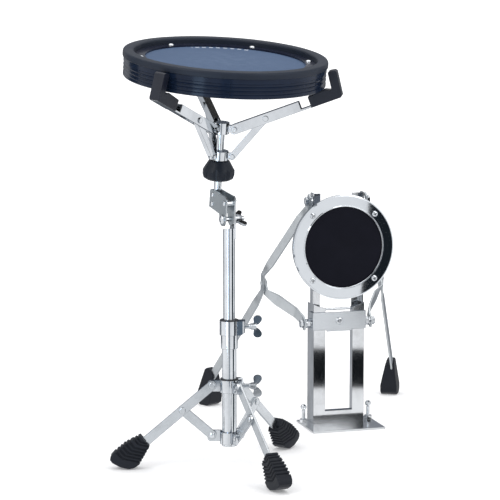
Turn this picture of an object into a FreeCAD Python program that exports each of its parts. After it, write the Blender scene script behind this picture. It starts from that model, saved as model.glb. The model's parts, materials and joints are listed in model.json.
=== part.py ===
import FreeCAD, Part
import math
import os
import Sketcher
from FreeCAD import Vector as V, Rotation, Placement

# A practice pad set for a drummer: a snare pad held in a three-arm basket on
# a folding tripod stand, and a kick pad on its own folding pressed frame.
# Millimetres. +Z is up, the floor is z = 0, and -Y is the player's side. The
# pieces are laid out around the stand's tube, which runs along Z through
# x = y = 0; at the end the whole set is moved so that the origin is the middle
# of the kick unit's base plate, on the floor.

SIZES = dict(
    # stand tubes
    base_tube_radius=9.5, base_tube_bore=8.5, base_tube_bottom=30, base_tube_length=156,
    upper_tube_radius=7.95, upper_tube_bore=6.95, upper_tube_bottom=110, upper_tube_length=211,
    ear_width=13, ear_thick=2.5, slide_bore=9.55,
    # tripod linkage
    pivot_radius=23, lower_pivot_z=44.5, collar_pivot_z=111.5, link_length=51.4,
    leg_width=12.5, leg_thick=3, leg_length=142, strut_width=12, strut_thick=3,
    rivet_radius=2.5, rivet_head=4.2, rivet_hole=2.55, collar_radius=12.3, collar_height=17,
    collar_ear=4, lug_thick=3, bracket_height=16, foot_width=20,
    # height clamp
    clamp_radius=12.8, clamp_height=19, sleeve_radius=11.3, clamp_ear=16,
    wing_thick=4.5, wing_shaft=3, wing_hole=3.05,
    # tilter
    pivot_z=332, tilt_deg=8.4, swing_deg=-64, rod_offset=34, rod_shift=3,
    bracket_sheet=2, tilter_bolt_radius=3, tilter_hole=3.05,
    # basket
    rod_radius=5, rod_bore=5.05, hub_radius=10.5, hub_z=114.5, hub_pivot_r=18,
    spider_z=78, spider_pivot_r=17, spider_radius=11.5, arm_mid_r=58, arm_mid_z=133,
    arm_width=13, arm_channel=10, arm_gap=7, basket_strut_width=9, basket_strut_channel=6.6,
    basket_strut_gap=3.8, spider_lug=3.5, hub_lug=6.8, pin_radius=2, pin_hole=2.05,
    knob_radius=21, grip_thick=9.5, grip_width=15, claw_thick=2.5,
    # snare pad
    pad_bottom=178.5, pad_radius=131.5, rim_radius=133, rim_inner=118.5, rim_height=9,
    shell_bore=128, board_radius=127.95, board_thick=16, foam_thick=4, foam_radius=117.5,
    skin_thick=2, skin_radius=118, hoop_inner=104, hoop_outer=118, hoop_thick=2.2,
    hoop_screw_circle=110.5, screw_shank=2,
    # kick pad
    kick_turn=16, frame_half=38.5, frame_depth=29, frame_sheet=1.8, window_half=20.5,
    frame_top=338, plate_half=54.5, plate_depth=80, plate_thick=2.5, crossbar_height=26,
    crossbar_sheet=1.8, disc_z=262, ring_radius=75.5, ring_bore=58, ring_thick=3,
    cup_radius=72, cup_depth=15, kick_screw_circle=65.8, kick_bar=12, kick_bar_thick=3,
    spike_radius=2.5, spike_hole=2.55, side_bolt_radius=3, side_bolt_hole=3.05,
)

doc = FreeCAD.newDocument("practice_pad_set")
sheet = doc.addObject("Spreadsheet::Sheet", "dims")
for row, (alias, value) in enumerate(SIZES.items(), 1):
    sheet.set("A%d" % row, alias)
    sheet.set("B%d" % row, str(value))
    sheet.setAlias("B%d" % row, alias)
doc.recompute()


def size(alias):
    return float(sheet.get(alias))


def number(value):
    """The value of a number, or of an alias with an optional minus sign and divisor."""
    if not isinstance(value, str):
        return float(value)
    name, _, divisor = value.lstrip("-").partition("/")
    sign = -1.0 if value[0] == "-" else 1.0
    return sign * size(name) / float(divisor or 1)


def bind(target, path, value):
    """Ties a property to the spreadsheet when its value is given as an alias."""
    if isinstance(value, str):
        sign = "-" if value[0] == "-" else ""
        target.setExpression(path, sign + "dims." + value.lstrip("-"))


# ---------------------------------------------------------- points in a plane
def heading(start, end):
    """The unit direction from start to end, and the distance."""
    run = number(end[0]) - number(start[0])
    rise = number(end[1]) - number(start[1])
    length = math.hypot(run, rise)
    return (run / length, rise / length), length


def beside(start, way, ahead, left):
    """The point that lies ahead of start along way, and to the left of that line."""
    return (number(start[0]) + way[0] * ahead - way[1] * left,
            number(start[1]) + way[1] * ahead + way[0] * left)


def meet(start_1, way_1, start_2, way_2):
    """Where two lines cross."""
    det = way_2[0] * way_1[1] - way_1[0] * way_2[1]
    dx, dy = start_2[0] - start_1[0], start_2[1] - start_1[1]
    ahead = (way_2[0] * dy - dx * way_2[1]) / det
    return beside(start_1, way_1, ahead, 0)


def polar_points(radius, first_deg, count):
    """Points spaced evenly round a circle."""
    angles = [math.radians(first_deg + 360 / count * k) for k in range(count)]
    return [(radius * math.cos(angle), radius * math.sin(angle)) for angle in angles]


def rect(x0, y0, x1, y1):
    return [(x0, y0), (x1, y0), (x1, y1), (x0, y1)]


def bar(start, end, width, square_end=False):
    """A bar between two points, round about its start and round or square at its end."""
    way, length = heading(start, end)
    half = width / 2.0
    far = beside(start, way, length, half)
    if not square_end:
        far += beside(start, way, length + half, 0)
    return [beside(start, way, 0, -half) + beside(start, way, -half, 0),
            beside(start, way, length, -half), far, beside(start, way, 0, half)]


# -------------------------------------------------------- sketches and bodies
# A shape to draw is a list of outline points, or a circle's (x, y, radius).
# Sketch coordinates are (x, y) on XY, (x, z) on XZ and (y, z) on YZ.
THROUGH = None


def circle(radius, x=0, y=0):
    return (x, y, radius)


def circles(radius, centres):
    return [circle(radius, x, y) for x, y in centres]


def annulus(outer, inner):
    return [circle(outer), circle(inner)]


def new_body(label, placement=Placement()):
    body = doc.addObject("PartDesign::Body", label)
    body.Label = label
    body.Placement = placement
    return body


def pin_point(sketch, geometry, position, x, y):
    for kind, value in (("DistanceX", x), ("DistanceY", y)):
        index = sketch.addConstraint(
            Sketcher.Constraint(kind, -1, 1, geometry, position, number(value)))
        bind(sketch, "Constraints[%d]" % index, value)


def draw_circle(sketch, x, y, radius):
    curve = Part.Circle(V(number(x), number(y), 0), V(0, 0, 1), number(radius))
    geometry = sketch.addGeometry(curve, False)
    index = sketch.addConstraint(Sketcher.Constraint("Radius", geometry, number(radius)))
    bind(sketch, "Constraints[%d]" % index, radius)
    pin_point(sketch, geometry, 3, x, y)


def draw_outline(sketch, points):
    """A closed outline. (x, y) ends a line; (x, y, via_x, via_y) ends an arc through via."""
    edges = []
    for k, end in enumerate(points):
        first = V(number(points[k - 1][0]), number(points[k - 1][1]), 0)
        last = V(number(end[0]), number(end[1]), 0)
        start_pos, end_pos, centre = 1, 2, None
        if len(end) == 4:
            via = V(end[2], end[3], 0)
            centre = Part.Arc(first, via, last).toShape().Curve.Center
            # a sketch arc always runs anticlockwise
            if (via - first).cross(last - via).z <= 0:
                first, last = last, first
                start_pos, end_pos = 2, 1
            angle_1 = math.atan2(first.y - centre.y, first.x - centre.x)
            angle_2 = math.atan2(last.y - centre.y, last.x - centre.x)
            if angle_2 <= angle_1:
                angle_2 += 2 * math.pi
            whole = Part.Circle(centre, V(0, 0, 1), (first - centre).Length)
            curve = Part.ArcOfCircle(whole, angle_1, angle_2)
        else:
            curve = Part.LineSegment(first, last)
        edges.append((sketch.addGeometry(curve, False), start_pos, end_pos, centre))
    for k, edge in enumerate(edges):
        before = edges[k - 1]
        sketch.addConstraint(
            Sketcher.Constraint("Coincident", before[0], before[2], edge[0], edge[1]))
    for k, (geometry, _, end_pos, centre) in enumerate(edges):
        start, end = points[k - 1], points[k]
        pin_point(sketch, geometry, end_pos, end[0], end[1])
        if centre is not None:
            # the ends are held, so one coordinate of the centre settles the arc
            rise = abs(number(end[1]) - number(start[1]))
            run = abs(number(end[0]) - number(start[0]))
            kind, value = ("DistanceX", centre.x) if rise > run else ("DistanceY", centre.y)
            sketch.addConstraint(Sketcher.Constraint(kind, -1, 1, geometry, 3, value))


def draw(body, plane, height, shapes, turn=0.0):
    """A sketch on an origin plane, moved by height along the third axis.

    An XZ sketch can be turned about Z, so that it lies in a radial plane.
    """
    sketch = body.newObject("Sketcher::SketchObject", body.Name + "_sketch")
    support = [o for o in body.Origin.OriginFeatures if o.Role == plane + "_Plane"][0]
    sketch.AttachmentSupport = [(support, "")]
    sketch.MapMode = "FlatFace"
    if plane == "XZ":
        # this plane's normal is -Y
        rotation = Rotation(V(0, 1, 0), turn)
        sketch.AttachmentOffset = Placement(rotation.multVec(V(0, 0, -height)), rotation)
    else:
        sketch.AttachmentOffset = Placement(V(0, 0, height), Rotation())
    for shape in shapes:
        if isinstance(shape, tuple):
            draw_circle(sketch, *shape)
        else:
            draw_outline(sketch, shape)
    return sketch


def extrude(body, kind, sketch, length, centred, reverse):
    feature = body.newObject("PartDesign::" + kind, body.Name + "_" + kind.lower())
    feature.Profile = sketch
    if length is THROUGH:
        feature.Type = 1
        feature.Midplane = True
    else:
        feature.Length = number(length)
        bind(feature, "Length", length)
        feature.Midplane = centred
    feature.Reversed = reverse
    sketch.Visibility = False


def pad(body, plane, height, length, *shapes, centred=False, reverse=False, turn=0.0):
    """Adds material towards +Z, -Y or +X of the sketch; reverse is the other way."""
    sketch = draw(body, plane, height, shapes, turn)
    extrude(body, "Pad", sketch, length, centred, reverse)


def cut(body, plane, height, length, *shapes, centred=False, reverse=False, turn=0.0):
    """Removes material towards -Z, +Y or -X of the sketch; reverse is the other way."""
    sketch = draw(body, plane, height, shapes, turn)
    extrude(body, "Pocket", sketch, length, centred, reverse)


def spin(body, plane, profile, axis="V_Axis"):
    sketch = draw(body, plane, 0, [profile])
    feature = body.newObject("PartDesign::Revolution", body.Name + "_turned")
    feature.Profile = sketch
    feature.ReferenceAxis = (sketch, [axis])
    feature.Angle = 360
    sketch.Visibility = False


def rod(body, centre, radius, y0, y1, turn=0.0):
    """A round pad along Y at an (x, z) centre, from y0 to y1."""
    pad(body, "XZ", y0, y1 - y0, circle(radius, *centre), reverse=True, turn=turn)


def hole(body, centre, radius):
    """A hole along Y at an (x, z) centre."""
    cut(body, "XZ", 0, THROUGH, circle(radius, *centre))


def turned(label, profile, placement=Placement()):
    """A body turned about its own Z axis from an (r, z) outline."""
    body = new_body(label, placement)
    spin(body, "XZ", profile)
    return body


def about_z(degrees):
    return Placement(V(0, 0, 0), Rotation(V(0, 0, 1), degrees))


# --------------------------------------------------------------- plain solids
def shape_node(label, shape, placement=Placement()):
    node = doc.addObject("Part::Feature", label)
    node.Label = label
    node.Shape = shape
    node.Placement = placement


def lathe(profile, origin=V(0, 0, 0), axis=V(0, 0, 1)):
    """A turned solid from (r, z) points, its own Z laid along axis."""
    points = [V(r, 0, z) for r, z in profile]
    wire = Part.makePolygon(points + [points[0]])
    solid = Part.Face(wire).revolve(V(0, 0, 0), V(0, 0, 1), 360)
    solid.Placement = Placement(origin, Rotation(V(0, 0, 1), axis))
    return solid


def dome(radius, height, z):
    """Points of a domed head that rises from z, from its rim to its crown."""
    angles = [math.pi / 2 * k / 5 for k in range(5)]
    return [(radius * math.cos(angle), z + height * math.sin(angle))
            for angle in angles] + [(0, z + height)]


def low_dome(radius, height, z, steps=4):
    """Points of a domed head that hangs below z, from its crown to its rim."""
    angles = [math.pi / 2 * k / steps for k in range(steps + 1)]
    return [(radius * math.sin(angle), z - height * math.cos(angle)) for angle in angles]


def washer(bore, radius, z0, z1, origin, axis):
    return lathe([(bore, z0), (radius, z0), (radius, z1), (bore, z1)], origin, axis)


def hexagon(flats, z0, z1, origin, axis, bore=0.0):
    """A hexagonal nut or head with chamfered corners, flats wide across its flats."""
    corner = flats / math.sqrt(3)
    points = [V(x, y, z0) for x, y in polar_points(corner, 0, 6)]
    solid = Part.Face(Part.makePolygon(points + points[:1])).extrude(V(0, 0, z1 - z0))
    flat, wide = corner * 0.93, corner + 1
    solid = solid.common(lathe([
        (0, z0 - 1), (flat, z0 - 1), (wide, z0 + wide - flat),
        (wide, z1 - wide + flat), (flat, z1 + 1), (0, z1 + 1)]))
    if bore:
        solid = solid.cut(Part.makeCylinder(bore, z1 - z0 + 4, V(0, 0, z0 - 2)))
    solid.Placement = Placement(origin, Rotation(V(0, 0, 1), axis))
    return solid


def cross_screw(place, head, height, shank, length, rotation):
    """A domed screw with a cross recess, its head's seat at place."""
    screw = lathe([(0, -length), (shank, -length), (shank, 0)] + dome(head, height, 0))
    long, narrow = head * 1.1, 0.9
    for wide, deep in ((long, narrow), (narrow, long)):
        corner = V(-wide / 2.0, -deep / 2.0, height - 1.2)
        screw = screw.cut(Part.makeBox(wide, deep, 2.0, corner))
    screw.Placement = Placement(place, rotation)
    return screw


# --------------------------------------------- stand tubes and height clamp
HEIGHT_WING_Z = 190
LEG_WING_Z = 110.5
CLAMP_BOTTOM = 179
TUBE_EAR_Y = 4.05

# (x, y) of the lug beside the height clamp
CLAMP_LUG = [(10.6, "-clamp_ear/2"), (17.5, "-clamp_ear/2"), (21, -4.5, 20.0, -7.0),
             (21, 4.5), (17.5, "clamp_ear/2", 20.0, 7.0), (10.6, "clamp_ear/2")]
# (x, z) of the flat ear on the upper tube
TUBE_EAR = [("-ear_width/2", 306), ("ear_width/2", 306), ("ear_width/2", 357),
            (4.0, 362.5, 6.0, 361.0), (-4.0, 362.5), ("-ear_width/2", 357, -6.0, 361.0)]
# (x, z) of one lobe of a wing bolt whose shank lies along X
WING_LOBE = [(32.5, 2.0), (32.0, 7.5), (31.6, 10.2), (32.4, 12.4), (34.4, 14.0), (37.0, 14.6),
             (40.0, 14.2), (42.2, 12.4), (43.0, 10.2), (42.4, 7.6), (39.0, 3.6), (35.9, 2.0)]


def base_tube():
    body = new_body("base_tube")
    pad(body, "XY", size("base_tube_bottom"), "base_tube_length",
        *annulus("base_tube_radius", "base_tube_bore"))


def height_collar():
    """A wide clamp ring with a lug to its +X side, over a split sleeve on the base tube."""
    body = new_body("height_collar")
    pad(body, "XY", 161, 20, *annulus("sleeve_radius", "base_tube_radius"))
    pad(body, "XY", CLAMP_BOTTOM, "clamp_height", *annulus("clamp_radius", "base_tube_radius"))
    pad(body, "XY", CLAMP_BOTTOM, "clamp_height", CLAMP_LUG)
    # the slope under the lug
    cut(body, "XZ", 0, THROUGH, [(13.5, 178), (22, 178), (22, 183.5)])
    # the seat of the bush, and the split
    cut(body, "XY", 186.2, 12, circle(11.0), reverse=True)
    cut(body, "XZ", 0, 1.2, rect(9.0, 160, 12, 177.5), centred=True)
    cut(body, "YZ", 0, 30, circle("wing_hole", 0, HEIGHT_WING_Z), reverse=True)


def height_bush():
    """The nylon bush that guides the upper tube."""
    turned("height_bush", [(8.0, 186.25), (10.95, 186.25), (10.95, 198.05), (12.2, 198.05),
                           (12.2, 199.3), (8.0, 199.3)])


def wing_bolt(label, tip, z):
    """A shank along X from tip, a boss and a flat two-lobed wing."""
    body = new_body(label, Placement(V(0, 0, z), Rotation()))
    spin(body, "XY", [
        (tip, 0), (36, 0), (36, 4.6), (34.5, 5.2), (29.0, 4.4), (27.5, 3.6),
        (26, "wing_shaft"), (tip + 1.2, "wing_shaft"), (tip, size("wing_shaft") - 1.0)],
        "H_Axis")
    for side in (-1, 1):
        pad(body, "XZ", 0, "wing_thick", [(x, side * z) for x, z in WING_LOBE], centred=True)


def upper_tube():
    """The inner tube, cut away at its top and carrying a flat ear for the tilter's pivot."""
    body = new_body("upper_tube", about_z(size("swing_deg")))
    pad(body, "XY", size("upper_tube_bottom"), "upper_tube_length",
        *annulus("upper_tube_radius", "upper_tube_bore"))
    pad(body, "XZ", TUBE_EAR_Y, "ear_thick", TUBE_EAR, reverse=True)
    cut(body, "XZ", TUBE_EAR_Y, 13, [(-9, 318), (9, 320.5), (9, 330), (-9, 330)], reverse=True)
    hole(body, (0, "pivot_z"), "tilter_bolt_radius")


base_tube()
height_collar()
height_bush()
wing_bolt("height_wing_bolt", 11.2, HEIGHT_WING_Z)
upper_tube()

# -------------------------------------------------------------------- tripod
# In each leg's own frame X is outward, Y is the tangent and Z is up.
LEG_TURNS = {"a": 180.0, "b": -64.0, "c": 54.5}
LOWER_PIVOT = ("pivot_radius", "lower_pivot_z")
COLLAR_PIVOT = ("pivot_radius", "collar_pivot_z")
MIDDLE_Z = (size("lower_pivot_z") + size("collar_pivot_z")) / 2.0
LINK_RISE = MIDDLE_Z - size("lower_pivot_z")
# where a strut meets its leg
LEG_MIDDLE = (size("pivot_radius") + math.sqrt(size("link_length") ** 2 - LINK_RISE ** 2),
              MIDDLE_Z)
LEG_WAY = heading(COLLAR_PIVOT, LEG_MIDDLE)[0]
LEG_BAR = bar(COLLAR_PIVOT, beside(COLLAR_PIVOT, LEG_WAY, size("leg_length"), 0),
              size("leg_width"), square_end=True)
LEG_Y = 2.05
LUG_Y = -4.1
# the outer faces, in y, of the rivet heads on a leg
HEAD_LOW_Y, HEAD_HIGH_Y = -2.7, 6.7
# (distance along the leg, distance to the left of its centre line) round a boot
BOOT = [(115.0, 11.6), (115.0, -7.8), (128.0, -12.6), (140.8, -17.0), (148.5, -16.2),
        (155.4, -12.6), (162.8, -2.6), (166.8, 8.0), (166.4, 13.0), (163.0, 15.8),
        (156.0, 16.9), (137.0, 16.8)]


def ear_outline(inner, bottom, top, outer):
    """An (x, z) ear whose two outer corners are rounded."""
    return [(inner, bottom), (outer - 4, bottom),
            (outer, bottom + 4, outer - 1.2, bottom + 1.2), (outer, top - 4),
            (outer - 4, top, outer - 1.2, top - 1.2), (inner, top)]


def leg_collar():
    body = new_body("leg_collar")
    pad(body, "XY", 102, "collar_height", *annulus("collar_radius", "slide_bore"))
    for turn in LEG_TURNS.values():
        pad(body, "XZ", 0, "collar_ear", ear_outline(11, 103, 118, 28.5),
            centred=True, turn=turn)
        rod(body, COLLAR_PIVOT, "rivet_head", -3.6, -2, turn)
    # the boss that the wing bolt goes through
    pad(body, "XY", 103.5, 14, rect(11, -5, 16.5, 5))
    cut(body, "YZ", 0, 30, circle("wing_hole", 0, LEG_WING_Z), reverse=True)


def leg_bush():
    turned("leg_bush", [(9.55, 119.05), (11.9, 119.05), (11.9, 120.6), (9.55, 120.6)])


def bottom_bracket():
    body = new_body("bottom_bracket")
    pad(body, "XY", 33, "bracket_height", *annulus(12.2, "base_tube_radius"))
    for turn in LEG_TURNS.values():
        pad(body, "XZ", LUG_Y, "lug_thick", ear_outline(10.2, 35.5, 50.5, 29.0),
            reverse=True, turn=turn)
        cut(body, "XZ", LUG_Y, "lug_thick", circle("rivet_radius", *LOWER_PIVOT), turn=turn)


def bracket_rivets():
    """Solid rivets through the bracket's lugs, domed at both ends."""
    shank, head, end = size("rivet_radius"), size("rivet_head"), 1.98
    profile = (low_dome(head, 1.6, LUG_Y) + [(shank, LUG_Y), (shank, end)]
               + dome(head, 2.2, end))
    rivets = []
    for turn in LEG_TURNS.values():
        rivet = lathe(profile, V(size("pivot_radius"), 0, size("lower_pivot_z")), V(0, 1, 0))
        rivet.Placement = about_z(turn).multiply(rivet.Placement)
        rivets.append(rivet)
    shape_node("bracket_rivets", Part.makeCompound(rivets))


def strut(key, placement):
    body = new_body("strut_" + key, placement)
    pad(body, "XZ", -1.05, "strut_thick", bar(LOWER_PIVOT, LEG_MIDDLE, size("strut_width")),
        reverse=True)
    hole(body, LOWER_PIVOT, "rivet_hole")
    hole(body, LEG_MIDDLE, "rivet_hole")


def is_head_edge(edge):
    """The outer rim of a rivet head on a leg."""
    return (edge.Curve.TypeId == "Part::GeomCircle"
            and abs(edge.Curve.Radius - size("rivet_head")) < 0.01
            and min(abs(edge.CenterOfMass.y - HEAD_HIGH_Y),
                    abs(edge.CenterOfMass.y - HEAD_LOW_Y)) < 0.01)


def leg(key, placement):
    """A flat leg with its middle rivet, and rivet heads that are rounded outside."""
    body = new_body("leg_" + key)
    pad(body, "XZ", LEG_Y, "leg_thick", LEG_BAR, reverse=True)
    rod(body, LEG_MIDDLE, "rivet_radius", -1.2, 2.5)
    rod(body, LEG_MIDDLE, "rivet_head", HEAD_LOW_Y, -1.15)
    rod(body, LEG_MIDDLE, "rivet_head", 4.9, HEAD_HIGH_Y)
    rod(body, COLLAR_PIVOT, "rivet_head", 4.9, HEAD_HIGH_Y)
    doc.recompute()
    base = body.Tip
    names = ["Edge%d" % k for k, edge in enumerate(base.Shape.Edges, 1) if is_head_edge(edge)]
    fillet = body.newObject("PartDesign::Fillet", body.Name + "_round")
    fillet.Base = (base, names)
    fillet.Radius = 1.2
    body.Placement = placement


def foot(key, placement):
    """The rubber boot that a leg stands on."""
    body = new_body("foot_" + key, placement)
    middle = LEG_Y + size("leg_thick") / 2.0
    boot = [beside(COLLAR_PIVOT, LEG_WAY, ahead, left) for ahead, left in BOOT]
    pad(body, "XZ", middle, "foot_width", boot, centred=True)
    cut(body, "XZ", middle, "leg_thick", LEG_BAR, centred=True)


leg_collar()
leg_bush()
wing_bolt("leg_wing_bolt", 9.9, LEG_WING_Z)
bottom_bracket()
bracket_rivets()
for key, turn in LEG_TURNS.items():
    strut(key, about_z(turn))
    leg(key, about_z(turn))
    foot(key, about_z(turn))

# -------------------------------------------------------------------- tilter
# The pivot's bolt lies along Y of SWING_PLACE; the basket's rod is Z of ROD_PLACE.
SWING_PLACE = Placement(V(0, 0, size("pivot_z")), Rotation(V(0, 0, 1), size("swing_deg")))
TILT_PLACE = SWING_PLACE.multiply(
    Placement(V(0, 0, 0), Rotation(V(0, 1, 0), size("tilt_deg"))))
ROD_PLACE = TILT_PLACE.multiply(
    Placement(V(-size("rod_offset"), -size("rod_shift"), 0), Rotation()))
ROD_RIVET_HEIGHTS = (25, 12.6)
SPACER_RIVET = (2.7, 22)
# the bracket's two plates start at these y
PLATE_LOW_Y, PLATE_HIGH_Y = -10.0, 2.0
PLATE_END_Y = PLATE_HIGH_Y + size("bracket_sheet")
# (x, z) of a bracket plate, and of the web at its -X edge
BRACKET_PLATE = [(-42, 7), (-10, 5), (-9, 0), (9, 0, 0, -9), (9, 28), (5, 31.5),
                 (-39, 31.5), (-42, 29)]
BRACKET_WEB = [(-42, 7), (-40, 6.9), (-40, 31.0), (-42, 29)]
# (x, y) of one wing of the nut
NUT_WING = [(4.4, 9.5), (9, 12.0), (12.8, 16.5), (8.2, 21.0, 12.2, 21.0), (5.6, 17.6),
            (4.2, 16.0)]


def tilter_bolt():
    """The pivot's domed bolt and washer, and the hexagonal stop screw above them."""
    centre, axis, shank = V(0, 0, 0), V(0, 1, 0), size("tilter_bolt_radius")
    stop_screw = hexagon(5.5, 6.6, 9.4, V(0, 0, 24.5), axis)
    bolt = lathe(low_dome(6.4, 3.3, -10.3, 5) + [
        (6.4, -10.05), (shank, -10.05), (shank, 20.5), (2.4, 21.3), (0, 21.3)], centre, axis)
    ring = washer(shank, 6.5, 6.6, 8.0, centre, axis)
    shape_node("tilter_bolt", Part.makeCompound([bolt, ring, stop_screw]), SWING_PLACE)


def tilter_wing_nut():
    """A wing nut whose wings lean outward from the bolt."""
    wing_turn = Placement(V(0, 0, 0), Rotation(V(0, 1, 0), 38))
    body = new_body("tilter_wing_nut", SWING_PLACE.multiply(wing_turn))
    spin(body, "XY", [("tilter_hole", 8.1), (6.4, 8.1), (6.0, 12.5), (4.8, 17.0),
                      ("tilter_hole", 17.0)])
    for side in (1, -1):
        wing = [tuple(side * value if k % 2 == 0 else value for k, value in enumerate(point))
                for point in NUT_WING]
        pad(body, "XY", 0, 3.6, wing, centred=True)


def tilter_bracket():
    """A folded sheet bracket: two plates joined by a web behind the rod."""
    body = new_body("tilter_bracket", TILT_PLACE)
    pad(body, "XZ", PLATE_LOW_Y, "bracket_sheet", BRACKET_PLATE, reverse=True)
    pad(body, "XZ", PLATE_LOW_Y, PLATE_END_Y - PLATE_LOW_Y, BRACKET_WEB, reverse=True)
    pad(body, "XZ", PLATE_HIGH_Y, "bracket_sheet", BRACKET_PLATE, reverse=True)
    hole(body, (0, 0), "tilter_hole")
    for z in ROD_RIVET_HEIGHTS:
        hole(body, ("-rod_offset", z), 2.0)
    hole(body, SPACER_RIVET, 2.0)


def tilter_rivet(x, z, spacer=False):
    """A rivet domed at both ends, or one with a spacer and a flat end."""
    profile = low_dome(3.6, 1.8, PLATE_LOW_Y) + [(2.0, PLATE_LOW_Y)]
    if spacer:
        inside = PLATE_LOW_Y + size("bracket_sheet")
        profile += [(2.0, inside), (3.8, inside), (3.8, PLATE_HIGH_Y), (2.0, PLATE_HIGH_Y),
                    (2.0, PLATE_END_Y), (0, PLATE_END_Y)]
    else:
        profile += [(2.0, PLATE_END_Y)] + dome(3.6, 1.6, PLATE_END_Y)
    return lathe(profile, V(x, 0, z), V(0, 1, 0))


def tilter_rivets():
    rivets = [tilter_rivet(-size("rod_offset"), z) for z in ROD_RIVET_HEIGHTS]
    rivets.append(tilter_rivet(*SPACER_RIVET, spacer=True))
    shape_node("tilter_rivets", Part.makeCompound(rivets), TILT_PLACE)


tilter_bolt()
tilter_wing_nut()
tilter_bracket()
tilter_rivets()

# -------------------------------------------------------------------- basket
# In each arm's own frame X is outward from the rod and Z runs along it.
ARM_TURNS = {key: angle - size("swing_deg")
             for key, angle in (("a", -9.0), ("b", -123.0), ("c", 111.0))}
HUB_PIVOT = ("hub_pivot_r", "hub_z")
SPIDER_PIVOT = ("spider_pivot_r", "spider_z")
ARM_MIDDLE = ("arm_mid_r", "arm_mid_z")
ARM_WAY = heading(HUB_PIVOT, ARM_MIDDLE)[0]
ARM_LENGTH = 92.0
ARM_EDGE = -size("arm_width") / 2
CLAW_START, CLAW_TOP = 82.0, 33.0
GRIP_START = 106
# the direction of a claw's upright, which leans in towards the rod
CLAW_LEAN = math.radians(17)
CLAW_WAY = (-math.sin(CLAW_LEAN), math.cos(CLAW_LEAN))


def on_arm(ahead, left):
    return beside(HUB_PIVOT, ARM_WAY, ahead, left)


CLAW_CORNER = on_arm(146.3, ARM_EDGE)


def on_claw(up, inward):
    return beside(CLAW_CORNER, CLAW_WAY, up, inward)


def claw_outline():
    """An L in the arm's plane: along the arm's lower edge, then up the pad's side."""
    thick = size("claw_thick")
    start, tip = on_arm(CLAW_START, ARM_EDGE + thick), on_claw(CLAW_TOP, thick)
    return [on_arm(CLAW_START, ARM_EDGE), CLAW_CORNER, on_claw(CLAW_TOP, 0), tip,
            meet(start, ARM_WAY, tip, CLAW_WAY), start]


def grip_outline():
    """A sloping seat under the pad's edge and a sleeve round the claw's upright."""
    thick = size("grip_thick")
    seat = size("pad_bottom") - 0.3
    return [on_arm(GRIP_START, ARM_EDGE), CLAW_CORNER, on_claw(2.0, -2.2),
            on_claw(34.0, -2.2), on_claw(36.2, 0.2), on_claw(36.2, thick - 1.5),
            on_claw(34.6, thick), meet((0, seat), (1, 0), on_claw(0, thick), CLAW_WAY),
            (132.2, seat), on_arm(GRIP_START, 8.5)]


def round_lug(pivot, half):
    """An (x, z) lug that reaches out to a pivot and is round about it."""
    x, z = number(pivot[0]), number(pivot[1])
    return [(8.0, z - half), (x, z - half), (x, z + half, x + half, z), (8.0, z + half)]


def basket_rod():
    body = new_body("basket_rod", ROD_PLACE)
    pad(body, "XY", 8, 113.5, circle("rod_radius"))
    for z in ROD_RIVET_HEIGHTS:
        hole(body, (0, z), 2.0)


def basket_hub():
    """The hub at the rod's top, with a lug, a pin and two pin heads for each arm."""
    body = new_body("basket_hub", ROD_PLACE)
    pad(body, "XY", 107, 15, *annulus("hub_radius", "rod_radius"))
    for turn in ARM_TURNS.values():
        pad(body, "XZ", 0, "hub_lug", round_lug(HUB_PIVOT, 4.6), centred=True, turn=turn)
        pad(body, "XZ", 0, 10.2, circle("pin_radius", *HUB_PIVOT), centred=True, turn=turn)
        rod(body, HUB_PIVOT, 3.6, -6.6, -5.05, turn)
        rod(body, HUB_PIVOT, 3.6, 5.05, 6.6, turn)


def basket_spider():
    body = new_body("basket_spider", ROD_PLACE)
    pad(body, "XY", 72, 12, *annulus("spider_radius", "rod_bore"))
    for turn in ARM_TURNS.values():
        pad(body, "XZ", 0, "spider_lug", round_lug(SPIDER_PIVOT, 4.4), centred=True, turn=turn)


def basket_knob():
    """The clamping knob under the spider: eight shallow flutes and a coned top."""
    body = turned("basket_knob", [
        ("rod_bore", 45.5), (15.5, 45.5), (19.6, 48.0), ("knob_radius", 52.5),
        ("knob_radius", 58.5), (13.6, 70.9), (12.6, 71.4), ("rod_bore", 71.4)], ROD_PLACE)
    cut(body, "XY", 44, 30, *circles(5.9, polar_points(25.0, 10, 8)), reverse=True)


def basket_arm(key, placement):
    """A channel open below, with the middle pin and the claw at its end."""
    body = new_body("basket_arm_" + key, placement)
    pad(body, "XZ", 0, "arm_channel",
        bar(HUB_PIVOT, on_arm(ARM_LENGTH, 0), size("arm_width"), square_end=True), centred=True)
    cut(body, "XZ", 0, "arm_gap", [on_arm(*p) for p in rect(-10, -9, ARM_LENGTH + 2, 5.0)],
        centred=True)
    cut(body, "XZ", 0, "arm_gap", circle(9.0, *HUB_PIVOT), centred=True)
    hole(body, HUB_PIVOT, "pin_hole")
    pad(body, "XZ", 0, 8, circle("pin_radius", *ARM_MIDDLE), centred=True)
    rod(body, ARM_MIDDLE, 3.6, -6.5, -4.9)
    rod(body, ARM_MIDDLE, 3.6, 4.9, 6.5)
    pad(body, "XZ", 0, "arm_channel", claw_outline(), centred=True)


def grip(key, placement):
    """The rubber on a claw."""
    body = new_body("grip_" + key, placement)
    pad(body, "XZ", 0, "grip_width", grip_outline(), centred=True)
    cut(body, "XZ", 0, "arm_channel", claw_outline(), centred=True)


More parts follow.
